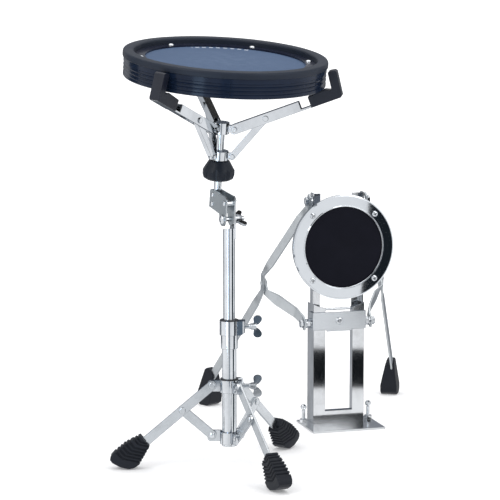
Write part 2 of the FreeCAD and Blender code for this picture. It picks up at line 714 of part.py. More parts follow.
def basket_strut(key, placement):
    """A channel open above, with a pin head on each side at the spider."""
    body = new_body("basket_strut_" + key, placement)
    way, length = heading(SPIDER_PIVOT, ARM_MIDDLE)
    groove = [beside(SPIDER_PIVOT, way, *p) for p in rect(-8, -3.2, length + 8, 6)]
    pad(body, "XZ", 0, "basket_strut_channel",
        bar(SPIDER_PIVOT, ARM_MIDDLE, size("basket_strut_width")), centred=True)
    cut(body, "XZ", 0, "basket_strut_gap", groove, centred=True)
    cut(body, "XZ", 0, "basket_strut_gap", circle(7.0, *SPIDER_PIVOT), centred=True)
    hole(body, ARM_MIDDLE, "pin_hole")
    rod(body, SPIDER_PIVOT, 3.2, -4.5, -3.1)
    rod(body, SPIDER_PIVOT, 3.2, 3.1, 4.5)


basket_rod()
basket_hub()
basket_spider()
basket_knob()
for key, turn in ARM_TURNS.items():
    arm_place = ROD_PLACE.multiply(about_z(turn))
    basket_arm(key, arm_place)
    grip(key, arm_place)
    basket_strut(key, arm_place)

# ----------------------------------------------------------------- snare pad
PAD_BOTTOM = size("pad_bottom")
SHELL_HEIGHT = 25
SHELL_FLOOR = 2
BOARD_BOTTOM = PAD_BOTTOM + SHELL_FLOOR + 0.02
FOAM_BOTTOM = BOARD_BOTTOM + size("board_thick")
SKIN_BOTTOM = FOAM_BOTTOM + size("foam_thick")
HOOP_BOTTOM = SKIN_BOTTOM + size("skin_thick")
HOOP_TOP = HOOP_BOTTOM + size("hoop_thick")
HOOP_SCREWS = polar_points(size("hoop_screw_circle"), 76, 6)


def pad_shell():
    """A shallow tray with three grooves round its wall."""
    top = PAD_BOTTOM + SHELL_HEIGHT
    floor = PAD_BOTTOM + SHELL_FLOOR
    grooves = []
    for k in range(3):
        z = PAD_BOTTOM + 4.5 + 5.0 * k
        grooves += [("pad_radius", z), (130.4, z + 0.9), (130.4, z + 3.6),
                    ("pad_radius", z + 4.4)]
    turned("pad_shell", [(121, PAD_BOTTOM), (130.6, PAD_BOTTOM),
                         ("pad_radius", PAD_BOTTOM + 1.2)] + grooves
           + [("pad_radius", top), ("shell_bore", top), ("shell_bore", floor), (121, floor)],
           ROD_PLACE)


def pad_layer(label, bottom, thick, *outline, depth=None):
    """A flat layer, drilled from its top for the hoop's screws."""
    body = new_body(label, ROD_PLACE)
    pad(body, "XY", bottom, thick, *outline)
    cut(body, "XY", bottom + size(thick), depth or size(thick),
        *circles("screw_shank", HOOP_SCREWS))


def pad_screws():
    tip, shank = FOAM_BOTTOM - 7.5, size("screw_shank")
    profile = [(0, tip), (shank, tip), (shank, HOOP_TOP)] + dome(4.0, 2.4, HOOP_TOP)
    screws = [lathe(profile, V(x, y, 0)) for x, y in HOOP_SCREWS]
    shape_node("pad_screws", Part.makeCompound(screws), ROD_PLACE)


def pad_rim():
    """The rounded rim on top of the shell."""
    under = FOAM_BOTTOM + 0.05
    ledge = PAD_BOTTOM + SHELL_HEIGHT + 0.05
    shoulder, bend = PAD_BOTTOM + 28.5, PAD_BOTTOM + 32.2
    top = PAD_BOTTOM + SHELL_HEIGHT + size("rim_height")
    turned("pad_rim", [
        ("rim_inner", under), (127.9, under), (127.9, ledge), ("rim_radius", ledge),
        ("rim_radius", shoulder), (128.6, top, 131.8, bend), (123.0, top),
        ("rim_inner", shoulder, 119.8, bend)], ROD_PLACE)


pad_shell()
pad_layer("pad_base_board", BOARD_BOTTOM, "board_thick", circle("board_radius"), depth=8)
pad_layer("pad_foam", FOAM_BOTTOM, "foam_thick", circle("foam_radius"))
pad_layer("pad_playing_surface", SKIN_BOTTOM, "skin_thick", circle("skin_radius"))
pad_layer("pad_retaining_ring", HOOP_BOTTOM, "hoop_thick", *annulus("hoop_outer", "hoop_inner"))
pad_screws()
pad_rim()

# ------------------------------------------------ kick pad: frame and base
KICK_PLACE = Placement(V(156, 262, 0), Rotation(V(0, 0, 1), size("kick_turn")))
# turns a piece's own Z to -Y, towards the player
TO_PLAYER = Rotation(V(1, 0, 0), 90)
FRAME_HALF = size("frame_half")
FRAME_SHEET = size("frame_sheet")
FRAME_INSIDE = FRAME_HALF - FRAME_SHEET
FRAME_ARC = 93.0
WINDOW_BOTTOM = 20
# (y, z) of the bolts along X, and (x, y) of the spike in the plate's +X half
TOP_BOLT = (11.5, 326)
SIDE_BOLT = (8, 149)
SPIKE = (49.5, 12.0)
PLATE_Y = -50
CROSSBAR_Z = 139.5
CROSSBAR_SCREW_Z = CROSSBAR_Z + 13
CROSSBAR_GAP = 0.1


def kick_frame():
    """A pressed channel, open to +Y, with a window and two uprights."""
    body = new_body("kick_frame", KICK_PLACE)
    disc_z, depth, window = size("disc_z"), size("frame_depth"), size("window_half")
    bottom = size("plate_thick")
    # the top edge is hollowed about the disc's centre
    shoulder = disc_z - math.sqrt(FRAME_ARC ** 2 - FRAME_HALF ** 2)
    pad(body, "XZ", 0, "frame_depth", [
        ("-frame_half", bottom), ("frame_half", bottom), ("frame_half", shoulder),
        ("-frame_half", shoulder, 0, disc_z - FRAME_ARC)], reverse=True)
    cut(body, "XZ", depth, depth - FRAME_SHEET,
        rect(-FRAME_INSIDE, bottom + FRAME_SHEET, FRAME_INSIDE, 200), reverse=True)
    cut(body, "XZ", 0, THROUGH, rect("-window_half", WINDOW_BOTTOM, "window_half", 210))
    upright_y, upright_depth = 5, 12.5
    flange_y, flange_depth, flange_x = 1.7, 9.3, window + FRAME_SHEET
    for side in (-1, 1):
        # an upright, the lip along its +Y edge, and the flange beside the window
        pad(body, "XZ", upright_y, upright_depth,
            rect(side * FRAME_INSIDE, 168, side * FRAME_HALF, "frame_top"), reverse=True)
        pad(body, "XZ", upright_y + upright_depth - FRAME_SHEET, "frame_sheet",
            rect(side * 24.0, 162, side * (FRAME_HALF - 0.2), 336), reverse=True)
        pad(body, "XZ", flange_y, flange_depth,
            rect(side * window, WINDOW_BOTTOM, side * flange_x, 170.8), reverse=True)
    pad(body, "XZ", flange_y, flange_depth,
        rect(-flange_x, WINDOW_BOTTOM - FRAME_SHEET, flange_x, WINDOW_BOTTOM), reverse=True)
    # a thin round bar across the frame
    pad(body, "YZ", 0, 43.0, circle(1.8, 7, 168.8), centred=True)
    cut(body, "YZ", 0, THROUGH, circle("side_bolt_radius", *TOP_BOLT))


def kick_base_plate():
    """The plate on the floor, with a hexagonal nut for each spike."""
    body = new_body("kick_base_plate", KICK_PLACE)
    nut_top = 7.5
    pad(body, "XY", 0, "plate_thick",
        rect("-plate_half", PLATE_Y, "plate_half", PLATE_Y + size("plate_depth")))
    for side in (-1, 1):
        nut = [(side * SPIKE[0] + x, SPIKE[1] + y) for x, y in polar_points(5.8, 0, 6)]
        pad(body, "XY", 2.4, 5.1, nut)
    cut(body, "XY", nut_top, nut_top,
        *circles("spike_hole", [(side * SPIKE[0], SPIKE[1]) for side in (-1, 1)]))


def kick_crossbar():
    """A U that wraps the frame from the player's side, with a tab below its middle."""
    body = new_body("kick_crossbar", KICK_PLACE)
    inner = FRAME_HALF + CROSSBAR_GAP
    outer = inner + size("crossbar_sheet")
    front = -CROSSBAR_GAP - size("crossbar_sheet")
    pad(body, "XY", CROSSBAR_Z, "crossbar_height", [
        (-outer, front), (outer, front), (outer, 15), (inner, 15), (inner, -CROSSBAR_GAP),
        (-inner, -CROSSBAR_GAP), (-inner, 15), (-outer, 15)])
    pad(body, "XZ", front, "crossbar_sheet",
        rect(-19, CROSSBAR_Z - 2.2, 19, CROSSBAR_Z + 1), reverse=True)
    hole(body, (0, CROSSBAR_SCREW_Z), 2.5)
    cut(body, "YZ", 0, THROUGH, circle("side_bolt_radius", *SIDE_BOLT))


def kick_crossbar_fasteners():
    """The middle screw with its clamping bar and nut, and a stud stack at each side."""
    centre = V(0, 0, CROSSBAR_SCREW_Z)
    clamp = Part.makeBox(64, 3, 12, V(-32, 11.1, CROSSBAR_SCREW_Z - 6))
    parts = [cross_screw(V(0, -1.92, CROSSBAR_SCREW_Z), 5.6, 2.8, 2.5, 17.5, TO_PLAYER),
             clamp.cut(Part.makeCylinder(2.5, 10, V(0, 8, CROSSBAR_SCREW_Z), V(0, 1, 0))),
             hexagon(8, 14.15, 15.5, centre, V(0, 1, 0), 2.5)]
    shank = size("side_bolt_radius")
    for side in (-1, 1):
        line = (V(0, *SIDE_BOLT), V(side, 0, 0))
        parts += [lathe([(0, 38.7), (shank, 38.7), (shank, 57.0), (2.2, 57.8), (0, 57.8)],
                        *line),
                  washer(shank, 7.2, 40.45, 42.0, *line),
                  hexagon(11, 42.05, 47.0, *line, shank),
                  washer(shank, 6.6, 47.05, 48.95, *line),
                  hexagon(10, 52.2, 56.6, *line, shank)]
    shape_node("kick_crossbar_fasteners", Part.makeCompound(parts), KICK_PLACE)


def kick_top_bolts():
    """At each side a headed bolt, a washer and a nut."""
    parts = []
    shank = size("side_bolt_radius")
    for side in (-1, 1):
        line = (V(0, *TOP_BOLT), V(side, 0, 0))
        parts += [lathe([(0, 36.0), (4.0, 36.0), (4.0, 36.65), (shank, 36.65),
                         (shank, 48.5), (2.2, 49.3), (0, 49.3)], *line),
                  washer(shank, 6.8, 38.55, 40.9, *line),
                  hexagon(11, 44.15, 48.4, *line, shank)]
    shape_node("kick_top_bolts", Part.makeCompound(parts), KICK_PLACE)


kick_frame()
kick_base_plate()
kick_crossbar()
kick_crossbar_fasteners()

# ------------------------------------------------------------ kick pad: disc
# In the disc's own frame Z points at the player and z = 0 is the ring's front.
DISC_PLACE = KICK_PLACE.multiply(Placement(V(0, -20, size("disc_z")), TO_PLAYER))
RING_SCREWS = polar_points(size("kick_screw_circle"), 45, 4)
BEHIND_RING = -size("ring_thick") - 0.05
FACE_BACK = -8
CUP_BACK = -size("ring_thick") - size("cup_depth")


def drill(body, z, depth):
    """The ring screws' holes, from z backwards."""
    cut(body, "XY", z, depth, *circles("screw_shank", RING_SCREWS))


def kick_ring():
    body = turned("kick_ring", [
        ("ring_bore", "-ring_thick"), ("ring_radius", "-ring_thick"), ("ring_radius", -0.9),
        (73.6, 0), (60.0, 0), (59.2, 0.7), (58.4, 0.7), ("ring_bore", 0.2)], DISC_PLACE)
    drill(body, 1, 5)


def kick_face():
    body = turned("kick_face", [
        (0, FACE_BACK), (70, FACE_BACK), (70, BEHIND_RING), (57.9, BEHIND_RING),
        (57.9, -1.6), (56.9, -0.7), (0, -0.7)], DISC_PLACE)
    drill(body, 0, 9)


def kick_cup():
    """The cup behind the face, with four screw bosses and two straight ribs at its back."""
    body = turned("kick_cup", [
        (0, CUP_BACK), ("cup_radius", CUP_BACK), ("cup_radius", BEHIND_RING),
        (70.1, BEHIND_RING), (70.1, -16.2), (0, -16.2)], DISC_PLACE)
    pad(body, "XY", -17, 8.95, *circles(4.2, RING_SCREWS))
    drill(body, FACE_BACK, 7)
    for side in (-1, 1):
        pad(body, "XY", -35.0, 18, rect(side * 34.6, -52, side * 36.6, 52))


def kick_ring_screws():
    screws = [cross_screw(V(x, y, 0), 4.3, 2.3, 2.0, 14, Rotation(V(0, 0, 1), 20 + 31 * k))
              for k, (x, y) in enumerate(RING_SCREWS)]
    shape_node("kick_ring_screws", Part.makeCompound(screws), DISC_PLACE)


kick_ring()
kick_face()
kick_cup()
kick_ring_screws()
kick_top_bolts()

# ------------------------------------------------------------ kick pad: legs
# Each leg and brace is a flat bar through stations. A station is (centre, width
# direction, thickness direction, width). side is -1 at -X and 1 at +X.
BAR_WIDTH = size("kick_bar")
BAR_THICK = size("kick_bar_thick")
# (x, y) of the leg's top, the point its upper part heads for, its jog and its toe
LEG_TOP = (42.55, 11.5)
UPPER_AIM = (153.0, 165.0)
JOG = (92.3, 78.4)
TOE = (153.5, 186.0)
UPPER_WAY = heading(LEG_TOP, UPPER_AIM)[0]
LOWER_WAY = heading(JOG, TOE)[0]
# (distance from the jog, z, run, rise) at the ends of the leg's lower part
LOWER_STATIONS = [(14, 168, 0.5, -0.86), (111, 38, 0.6, -0.8)]
# (y, z) of the rivet that joins a leg and its brace
JOG_RIVET = (77.4, 199.5)
# (distance from the jog, z) round a boot
KICK_BOOT = [(101, 48), (106, 55), (114, 58), (119, 55), (132, 16), (131, 6), (125, 0.05),
             (110, 0.05), (104, 4), (101, 24)]
# (y, z) of the wedges cut off a boot's two flanks
BOOT_WEDGES = ([(-3.0, 60), (-8.1, 12), (-8.1, 60)], [(7.5, 60), (18.1, 14), (18.1, 60)])


def ribbon(stations):
    sections = []
    for centre, across, through, width in stations:
        across = V(across).normalize() * (width / 2.0)
        through = V(through).normalize() * (BAR_THICK / 2.0)
        corners = [centre - across - through, centre + across - through,
                   centre + across + through, centre - across + through]
        sections.append(Part.makePolygon(corners + corners[:1]))
    pieces = [Part.makeLoft([first, last], True, True)
              for first, last in zip(sections[:-1], sections[1:])]
    whole = pieces[0]
    for piece in pieces[1:]:
        whole = whole.fuse(piece)
    return whole


def flat(side, x, y, z, run, rise, width=BAR_WIDTH):
    """A station whose face is square to X and whose bar runs along (y, z) = (run, rise)."""
    return (V(side * x, y, z), V(0, -rise, run), V(1, 0, 0), width)


def upright(side, start, way, ahead, z, run, rise):
    """A station in the upright plane that leaves start, an (x, y) point, along way."""
    outward = V(side * way[0], way[1], 0)
    return (V(side * start[0], start[1], z) + outward * ahead,
            outward * -rise + V(0, 0, 1) * run, V(way[1], -side * way[0], 0), BAR_WIDTH)


def bolt_hole(side, x, bolt):
    return Part.makeCylinder(size("side_bolt_hole"), 20, V(side * x, *bolt), V(side, 0, 0))


def kick_leg(name, side):
    """The bent leg, with the domed rivet head on its outer face."""
    jog_x = JOG[0]
    bar_solid = ribbon([
        flat(side, LEG_TOP[0], 7.5, 334, 0.42, -0.9),
        flat(side, LEG_TOP[0], 16.0, 316.5, 0.42, -0.9),
        upright(side, LEG_TOP, UPPER_WAY, 16, 300, 0.55, -0.83),
        upright(side, LEG_TOP, UPPER_WAY, 70, 229, 0.58, -0.81),
        flat(side, jog_x, 76.6, 211.5, 0.12, -1),
        flat(side, jog_x, JOG[1], 188.5, 0.12, -1),
    ] + [upright(side, JOG, LOWER_WAY, *station) for station in LOWER_STATIONS])
    bar_solid = bar_solid.cut(bolt_hole(side, 34, TOP_BOLT))
    head = lathe([(0, jog_x + 1.4), (4.0, jog_x + 1.4)] + dome(4.0, 2.0, jog_x + 1.6),
                 V(0, *JOG_RIVET), V(side, 0, 0))
    shape_node("kick_leg_" + name, bar_solid.fuse(head).removeSplitter(), KICK_PLACE)


def kick_brace(name, side):
    """The brace from the side bolt to the leg's jog, with the rivet's inner head."""
    x = JOG[0] - BAR_THICK - 0.12
    bar_solid = ribbon([
        flat(side, 50.55, 2.0, 145.2, 0.85, 0.53, 14),
        flat(side, 50.55, 15.0, 153.4, 0.85, 0.53, 15),
        (V(side * 56.5, 30.0, 162.0), V(0, -0.42, 0.85), V(0.88, -side * 0.35, 0), 17),
        (V(side * 76.0, 58.0, 177.0), V(side * -0.2, -0.4, 0.88),
         V(0.88, -side * 0.45, 0), 17),
        flat(side, x, 70.0, 187.0, 0.62, 0.78, 15),
        flat(side, x, 80.6, 203.0, 0.6, 0.8)])
    bar_solid = bar_solid.cut(bolt_hole(side, 44, SIDE_BOLT))
    tail = lathe([(0, x - 3.0), (3.8, x - 3.0), (4.0, x - 2.4), (4.0, x - 1.4), (0, x - 1.4)],
                 V(0, *JOG_RIVET), V(side, 0, 0))
    shape_node("kick_brace_" + name, bar_solid.fuse(tail).removeSplitter(), KICK_PLACE)


def bar_edge(ahead, z, run, rise, left):
    """The point on one edge of the leg's lower part; left is 1 or -1."""
    way = heading((0, 0), (run, rise))[0]
    return beside((ahead, z), way, 0, left * BAR_WIDTH / 2.0)


def kick_foot(name, side):
    """The boot on the leg's foot: narrow at the top, spread towards the inside at the floor."""
    turn = math.degrees(math.atan2(LOWER_WAY[1], side * LOWER_WAY[0]))
    at_jog = Placement(V(side * JOG[0], JOG[1], 0), Rotation(V(0, 0, 1), turn))
    body = new_body("kick_foot_" + name, KICK_PLACE.multiply(at_jog))
    pad(body, "XZ", 5.0 * side, 26, KICK_BOOT, centred=True)
    for wedge in BOOT_WEDGES:
        cut(body, "YZ", 0, THROUGH, [(side * y, z) for y, z in wedge])
    upper, lower = LOWER_STATIONS
    slot = [bar_edge(*upper, 1), bar_edge(*upper, -1), bar_edge(*lower, -1),
            bar_edge(*lower, 1)]
    cut(body, "XZ", 0, "kick_bar_thick", slot, centred=True)


def kick_spike(name, side):
    """A pointed screw through the base plate, with a slotted head."""
    at_nut = Placement(V(side * SPIKE[0], SPIKE[1], 0), Rotation())
    body = turned("kick_spike_" + name, [
        (0, 0.6), (1.0, 1.0), ("spike_radius", 4.6), ("spike_radius", 20.4), (1.8, 21.0),
        (1.8, 22.0), (3.4, 22.4), (4.4, 25.2), (3.6, 27.8), (1.8, 29.2), (0, 29.4)],
        KICK_PLACE.multiply(at_nut))
    cut(body, "XZ", 0, THROUGH, rect(-0.7, 27.4, 0.7, 31))


for side, name in ((-1, "l"), (1, "r")):
    kick_leg(name, side)
    kick_brace(name, side)
    kick_foot(name, side)
    kick_spike(name, side)

# -------------------------------------------------------------------- export
doc.recompute()
bad = []
for obj in doc.Objects:
    unfinished = "Touched" in obj.State and obj.TypeId == "PartDesign::Body"
    if "Invalid" in obj.State or "Error" in obj.State or unfinished:
        bad.append((obj.Label, list(obj.State)))

nodes = [obj for obj in doc.Objects if obj.TypeId in ("PartDesign::Body", "Part::Feature")]
plate_middle = KICK_PLACE.multVec(V(0, PLATE_Y + size("plate_depth") / 2, 0))
for node in nodes:
    node.Placement = Placement(-plate_middle, Rotation()).multiply(node.Placement)

os.makedirs("parts", exist_ok=True)
for node in nodes:
    shape = node.Shape
    if shape.isNull() or not shape.isValid() or shape.Volume <= 0:
        bad.append((node.Label, "bad shape"))
        continue
    if node.TypeId == "PartDesign::Body" and len(shape.Solids) != 1:
        bad.append((node.Label, "%d solids" % len(shape.Solids)))
    shape.exportStep("parts/%s.step" % node.Label)
if bad:
    raise RuntimeError("bad objects: %r" % bad)
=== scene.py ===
"""A drum stand with a snare pad on top, and a kick unit beside it.

The tripod stands on the floor, z = 0, about the axis of STAND. +Z is up and the camera looks
along +Y, so -Y is the front and +X the right. The kick unit stands to the right and behind.
Frames and the stage are in metres; piece dimensions are in mm.
"""
import bpy
import bmesh
import json
import math
import numpy as np
from mathutils import Matrix, Vector


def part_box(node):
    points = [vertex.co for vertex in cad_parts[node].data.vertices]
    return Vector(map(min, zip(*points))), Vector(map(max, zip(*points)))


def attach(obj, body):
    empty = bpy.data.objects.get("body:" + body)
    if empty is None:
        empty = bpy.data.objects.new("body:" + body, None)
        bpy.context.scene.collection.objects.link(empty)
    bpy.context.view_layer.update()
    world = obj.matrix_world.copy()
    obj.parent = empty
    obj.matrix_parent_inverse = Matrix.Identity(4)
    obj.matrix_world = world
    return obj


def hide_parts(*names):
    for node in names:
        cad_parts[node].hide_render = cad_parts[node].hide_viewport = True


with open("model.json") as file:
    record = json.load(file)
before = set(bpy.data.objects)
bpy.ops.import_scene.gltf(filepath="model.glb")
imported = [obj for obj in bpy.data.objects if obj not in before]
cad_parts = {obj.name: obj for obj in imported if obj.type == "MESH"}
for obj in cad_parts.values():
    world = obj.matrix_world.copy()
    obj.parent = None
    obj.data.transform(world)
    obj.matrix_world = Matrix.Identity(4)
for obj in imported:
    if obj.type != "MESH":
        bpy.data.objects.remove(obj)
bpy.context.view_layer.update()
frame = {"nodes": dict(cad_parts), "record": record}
NODES = frame["nodes"]

# ------------------------------------------------------------------ frames


def mm(x, y, z):
    return Vector((x, y, z)) / 1000


def shift(x, y, z):
    return Matrix.Translation(mm(x, y, z))


def turn(degrees, axis="Z"):
    return Matrix.Rotation(math.radians(degrees), 4, axis)


PLATE_FROM_STAND = (0.1587564, 0.2523874)    # centre of the kick base plate, m
SWING = -64.0                                # turn of the snare pad about the stand
PAD_TILT = 8.4
DISC_CENTRE = (0, -20, 262)                  # in the kick unit's frame
LEG_AZIMUTHS = {"a": 180.0, "b": -64.0, "c": 54.5}

plate_low, plate_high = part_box("kick_base_plate")
STAND = Matrix.Translation(((plate_low.x + plate_high.x) / 2 - PLATE_FROM_STAND[0],
                            (plate_low.y + plate_high.y) / 2 - PLATE_FROM_STAND[1], 0))
PAD = STAND @ shift(0, 0, 332) @ turn(SWING) @ turn(PAD_TILT, "Y") @ shift(-34, -3, 0)
KICK = STAND @ shift(156, 262, 0) @ turn(16)
DISC = KICK @ shift(*DISC_CENTRE) @ turn(90, "X")    # its +Z points to the kick unit's front

# ------------------------------------------------------------ node helpers


def put(socket, value):
    """Link a socket to the input, or set the input's value; colours may leave out alpha."""
    if isinstance(value, bpy.types.NodeSocket):
        socket.id_data.links.new(value, socket)
    else:
        if socket.type == "RGBA" and len(value) == 3:
            value = (*value, 1)
        socket.default_value = value


def add_node(tree, kind, inputs=None, **props):
    node = tree.nodes.new(kind)
    for key, value in props.items():
        setattr(node, key, value)
    for key, value in (inputs or {}).items():
        put(node.inputs[key], value)
    return node


def empty_tree(owner):
    owner.use_nodes = True
    owner.node_tree.nodes.clear()
    return owner.node_tree


class Shader:
    """A principled material with a few helpers for building its nodes."""

    def __init__(self, name, color, rough, metallic=0.0, **inputs):
        self.mat = bpy.data.materials.new(name)
        self.tree = empty_tree(self.mat)
        self.out = self.node("ShaderNodeOutputMaterial")
        self.bsdf = self.node("ShaderNodeBsdfPrincipled")
        put(self.out.inputs[0], self.bsdf.outputs[0])
        self.set(Base_Color=color, Metallic=metallic, Roughness=rough, **inputs)
        self.coord = self.node("ShaderNodeTexCoord").outputs["Object"]
        self.normal = None

    def set(self, **inputs):
        """Set or link inputs of the principled node; underscores stand for spaces."""
        for key, value in inputs.items():
            put(self.bsdf.inputs[key.replace("_", " ")], value)

    def node(self, kind, inputs=None, **props):
        return add_node(self.tree, kind, inputs, **props)

    def calc(self, operation, *values, clamp=False):
        return self.node("ShaderNodeMath", dict(enumerate(values)),
                         operation=operation, use_clamp=clamp).outputs[0]

    def local(self, matrix):
        """Coordinates, in mm, in a local frame of the object."""
        return self.node("ShaderNodeMapping", {
            "Vector": self.coord, "Location": matrix.to_translation(),
            "Rotation": matrix.to_euler("XYZ"), "Scale": (0.001, 0.001, 0.001),
        }, vector_type="TEXTURE").outputs[0]

    def split(self, vector):
        return self.node("ShaderNodeSeparateXYZ", {0: vector}).outputs

    def radius(self, x, y):
        squares = self.calc("ADD", self.calc("MULTIPLY", x, x), self.calc("MULTIPLY", y, y))
        return self.calc("SQRT", squares)

    def noise(self, scale, detail=3.0, rough=0.5, stretch=None, vector=None, distort=0.0):
        source = vector or self.coord
        if stretch:
            source = self.node("ShaderNodeMapping",
                               {"Vector": source, "Scale": stretch}).outputs[0]
        return self.node("ShaderNodeTexNoise", {
            "Vector": source, "Scale": scale, "Detail": detail,
            "Roughness": rough, "Distortion": distort}).outputs["Fac"]

    def fade(self, value, span, to=(0.0, 1.0)):
        """A smooth step across span, between the two values of to."""
        return self.node("ShaderNodeMapRange", {
            "Value": value, "From Min": span[0], "From Max": span[1],
            "To Min": to[0], "To Max": to[1]}, interpolation_type="SMOOTHSTEP").outputs[0]

    def scaled(self, value, by, plus):
        return self.calc("MULTIPLY_ADD", value, by, plus)

    def mix(self, factor, first, second):
        # inputs 6 and 7 and output 2 are the colour sockets
        return self.node("ShaderNodeMix", {0: factor, 6: first, 7: second},
                         data_type="RGBA").outputs[2]

    def bevel(self, radius, samples=4):
        return self.node("ShaderNodeBevel", {"Radius": radius}, samples=samples).outputs[0]

    def edge(self, radius, samples=4, gain=3.0):
        """0 on faces, towards 1 on rounded-off edges."""
        face = self.node("ShaderNodeNewGeometry").outputs["Normal"]
        dot = self.node("ShaderNodeVectorMath", {0: self.bevel(radius, samples), 1: face},
                        operation="DOT_PRODUCT").outputs["Value"]
        return self.calc("MULTIPLY", self.calc("SUBTRACT", 1.0, dot), gain, clamp=True)

    def bump(self, height, strength, distance):
        """Lay a bump over the normal built so far."""
        node = self.node("ShaderNodeBump",
                         {"Strength": strength, "Distance": distance, "Height": height})
        if self.normal is not None:
            put(node.inputs["Normal"], self.normal)
        self.normal = node.outputs[0]

    def done(self):
        if self.normal is not None:
            self.set(Normal=self.normal)
        return self.mat


# --------------------------------------------------------------- materials
PAINTED_EDGE_REFLECTION = (0.035, 0.042, 0.055)    # painted dark reflection along the edges of metal


def metal(name, color, rough, spread=0.05, wave=0.0, brushed=None, tint=0.06, edge=0.0005,
          rim=0.3):
    """Plated steel: roughness clouds, faint plating waves, brushing, painted dark reflections
    on the edges.

    spread is the range of roughness, wave the strength of the plating waves, brushed the
    stretch of the brushing, tint the dulling in clouds, edge the bevel radius in metres and
    rim the brightness of reflections at grazing angles, kept low as painted dark outlines.
    """
    # the specular tint from rim: below 1 it paints dark outlines where faces turn away from
    # view
    s = Shader(name, color, rough, metallic=1.0,
               Specular_Tint=(rim, min(1.0, rim * 1.08), min(1.0, rim * 1.2), 1.0))
    s.normal = s.bevel(edge)
    cloud = s.noise(scale=38.0, detail=4.0, rough=0.6)
    fine = s.noise(scale=900.0, detail=2.0, rough=0.6)
    scratch = s.noise(scale=260.0, rough=0.7, stretch=brushed or (1.0, 1.0, 0.25))
    roughness = s.scaled(cloud, by=spread, plus=rough - spread * 0.5)
    roughness = s.scaled(scratch, by=spread * 0.8, plus=roughness)
    s.set(Roughness=s.calc("SUBTRACT", roughness, spread * 0.4, clamp=True))
    dull = tuple(c * (1 - tint * 2.2) for c in color)
    base = s.mix(s.fade(cloud, span=(0.35, 0.7)), color, dull)
    # painted dark reflection: rounded-off edges are tinted dark in the base colour, standing in
    # for the dark surroundings they would mirror
    painted_edge_reflection = s.calc("MULTIPLY", s.edge(radius=0.0011, samples=6, gain=4.5), 0.8, clamp=True)
    s.set(Base_Color=s.mix(painted_edge_reflection, base, PAINTED_EDGE_REFLECTION))
    if brushed:
        s.bump(s.noise(scale=1400.0, detail=2.0, rough=0.7, stretch=brushed),
               strength=0.10, distance=0.00006)
    s.bump(fine, strength=0.04, distance=0.00004)
    if wave:
        s.bump(s.noise(scale=26.0, detail=1.0, rough=0.4), strength=wave, distance=0.0006)
    return s.done()


def rubber(name, color, rough, grain, worn=0.0, cell=1500.0, spec=0.45):
    """Moulded rubber: fine grain, cloudy bloom, lighter rubbed edges.

    grain is the strength and cell the scale of the grain; worn is how far edges are rubbed.
    """
    s = Shader(name, color, rough, Specular_IOR_Level=spec)
    cloud = s.noise(scale=55.0, detail=5.0, rough=0.6)
    grains = s.noise(scale=cell, rough=0.7)
    lighter = tuple(c * 1.35 + 0.001 for c in color)
    base = s.mix(s.fade(cloud, span=(0.3, 0.75), to=(0.0, 0.55)), color, lighter)
    if worn:
        rubbed = tuple(c * 2.4 + 0.012 for c in color)
        patches = s.fade(s.noise(scale=170.0, rough=0.6), span=(0.35, 0.6), to=(0.3, 1.0))
        mask = s.calc("MULTIPLY", s.edge(radius=0.0011), patches)
        base = s.mix(s.calc("MULTIPLY", mask, worn), base, rubbed)
    s.set(Base_Color=base, Roughness=s.scaled(cloud, by=0.18, plus=rough - 0.09))
    s.bump(grains, strength=grain, distance=0.00012)
    s.bump(s.noise(scale=260.0, detail=2.0), strength=grain * 0.5, distance=0.0002)
    return s.done()


def shell_material():
    """Glossy shell with one fine seam running up its side."""
    seam_angle = math.radians(-22.0)
    s = Shader("shell_gloss", (0.006, 0.010, 0.024), rough=0.22,
               Specular_IOR_Level=0.10, Coat_Weight=0.16, Coat_Roughness=0.12)
    cloud = s.noise(scale=30.0, detail=4.0, rough=0.6)
    s.set(Roughness=s.scaled(cloud, by=0.14, plus=0.15),
          Base_Color=s.mix(s.fade(cloud, span=(0.3, 0.8)),
                           (0.0042, 0.0095, 0.0240), (0.0075, 0.0140, 0.0310)))
    local = s.local(PAD)
    x, y, _ = s.split(local)
    from_seam = s.calc("ABSOLUTE", s.calc("SUBTRACT", s.calc("ARCTAN2", y, x), seam_angle))
    s.bump(s.fade(from_seam, span=(0.0015, 0.0050)), strength=0.9, distance=0.0008)
    s.bump(s.noise(scale=0.035, detail=2.0, vector=local), strength=0.05, distance=0.0010)
    s.bump(s.noise(scale=0.9, detail=2.0, rough=0.6, vector=local),
           strength=0.03, distance=0.0001)
    return s.done()


def hoop_material():
    """Glossy black ring."""
    s = Shader("ring_black", (0.010, 0.013, 0.028), rough=0.16,
               Specular_IOR_Level=0.22, Coat_Weight=0.15, Coat_Roughness=0.06)
    cloud = s.noise(scale=60.0, detail=4.0, rough=0.6)
    s.set(Roughness=s.scaled(cloud, by=0.16, plus=0.10))
    s.bump(s.noise(scale=700.0, rough=0.6), strength=0.06, distance=0.00006)
    return s.done()


# The arc of printed dashes; its azimuth is in the pad's frame, so it undoes the swing.
PRINT_AZIMUTH = 90.0 - SWING + 5.4
PRINT_HALF_ARC = 23.0
PRINT_RADIUS, PRINT_HALF_WIDTH = 0.0975, 0.0025    # m
DASH_RATE, DASH_CUT = 64.0, -0.15                  # sine per radian; inked above the cut


def print_mask(s, x, y, radius):
    """1 on the printed dashes, 0 elsewhere."""
    angle = s.calc("SUBTRACT", s.calc("ARCTAN2", y, x), math.radians(PRINT_AZIMUTH))
    angle = s.calc("WRAP", angle, math.pi, -math.pi)
    arc = s.calc("LESS_THAN", s.calc("ABSOLUTE", angle), math.radians(PRINT_HALF_ARC))
    from_band = s.calc("ABSOLUTE", s.calc("SUBTRACT", radius, PRINT_RADIUS))
    band = s.calc("LESS_THAN", from_band, PRINT_HALF_WIDTH)
    wave = s.calc("SINE", s.calc("MULTIPLY", angle, DASH_RATE))
    dash = s.calc("GREATER_THAN", wave, DASH_CUT)
    return s.calc("MULTIPLY", s.calc("MULTIPLY", arc, band), dash)


